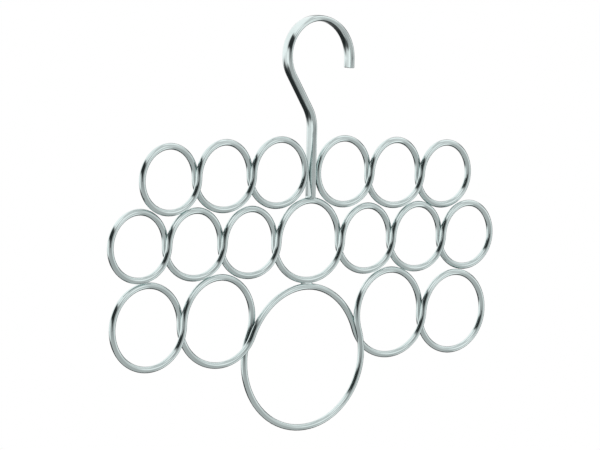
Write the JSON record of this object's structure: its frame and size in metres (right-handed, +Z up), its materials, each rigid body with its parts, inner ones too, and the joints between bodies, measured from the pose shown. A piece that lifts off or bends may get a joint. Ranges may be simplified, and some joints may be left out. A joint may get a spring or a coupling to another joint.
{
  "type": "scarf hanger",
  "caption": "Chrome wire hanger with rows of round loops for scarves, ties or belts, wound from pairs of wires, under a flat hook for a wardrobe rail.",
  "frame": {"origin": "the middle of the hook's bend, on the axis of the wardrobe rail", "axes": "X runs along the rows of loops, +Z is up, -Y is the front"},
  "size_m": [0.285, 0.0084, 0.2468],
  "materials": {
    "top_left_wire_a": "bright chrome plate on drawn steel wire",
    "top_left_wire_b": "bright chrome plate on drawn steel wire",
    "top_right_wire_a": "bright chrome plate on drawn steel wire",
    "top_right_wire_b": "bright chrome plate on drawn steel wire",
    "middle_wire_a": "bright chrome plate on drawn steel wire",
    "middle_wire_b": "bright chrome plate on drawn steel wire",
    "bottom_wire_a": "bright chrome plate on drawn steel wire",
    "bottom_wire_b": "bright chrome plate on drawn steel wire",
    "bridge_weld": "weld metal under the same chrome plate",
    "hook": "bright chrome plate on flat steel bar"
  },
  "bodies": {
    "root": {"top_left_wire_a": "top_left_wire_a", "top_left_wire_b": "top_left_wire_b", "top_right_wire_a": "top_right_wire_a", "top_right_wire_b": "top_right_wire_b", "middle_wire_a": "middle_wire_a", "middle_wire_b": "middle_wire_b", "bottom_wire_a": "bottom_wire_a", "bottom_wire_b": "bottom_wire_b", "bridge_weld": "bridge_weld", "hook": "hook"}
  },
  "joints": []
}
